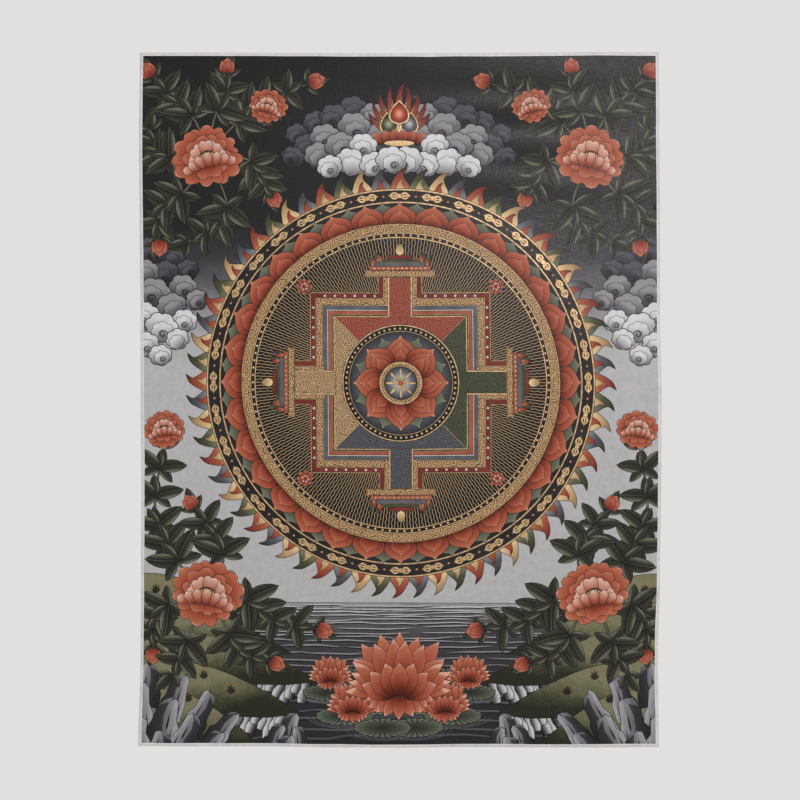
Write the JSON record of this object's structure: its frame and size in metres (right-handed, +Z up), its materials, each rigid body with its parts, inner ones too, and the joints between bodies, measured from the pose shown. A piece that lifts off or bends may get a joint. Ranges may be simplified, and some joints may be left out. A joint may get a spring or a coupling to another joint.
{
  "type": "thangka scroll painting",
  "caption": "Upright sheet of primed and painted cotton, a mandala thangka with a narrow bare margin, that hangs from its top edge.",
  "frame": {"origin": "middle of the cloth's top edge, halfway through its thickness", "axes": "+Z up along the cloth's height, +X to the viewer's right along its width, and -Y out of the painted face"},
  "size_m": [0.4526, 0.0062, 0.602],
  "materials": {
    "painted_cotton": "distemper on primed cotton, nearly matt, in charcoal, grey, terracotta, olive and gold, with a pale primed margin"
  },
  "bodies": {
    "root": {"painted_cloth": "painted_cotton"}
  },
  "joints": []
}
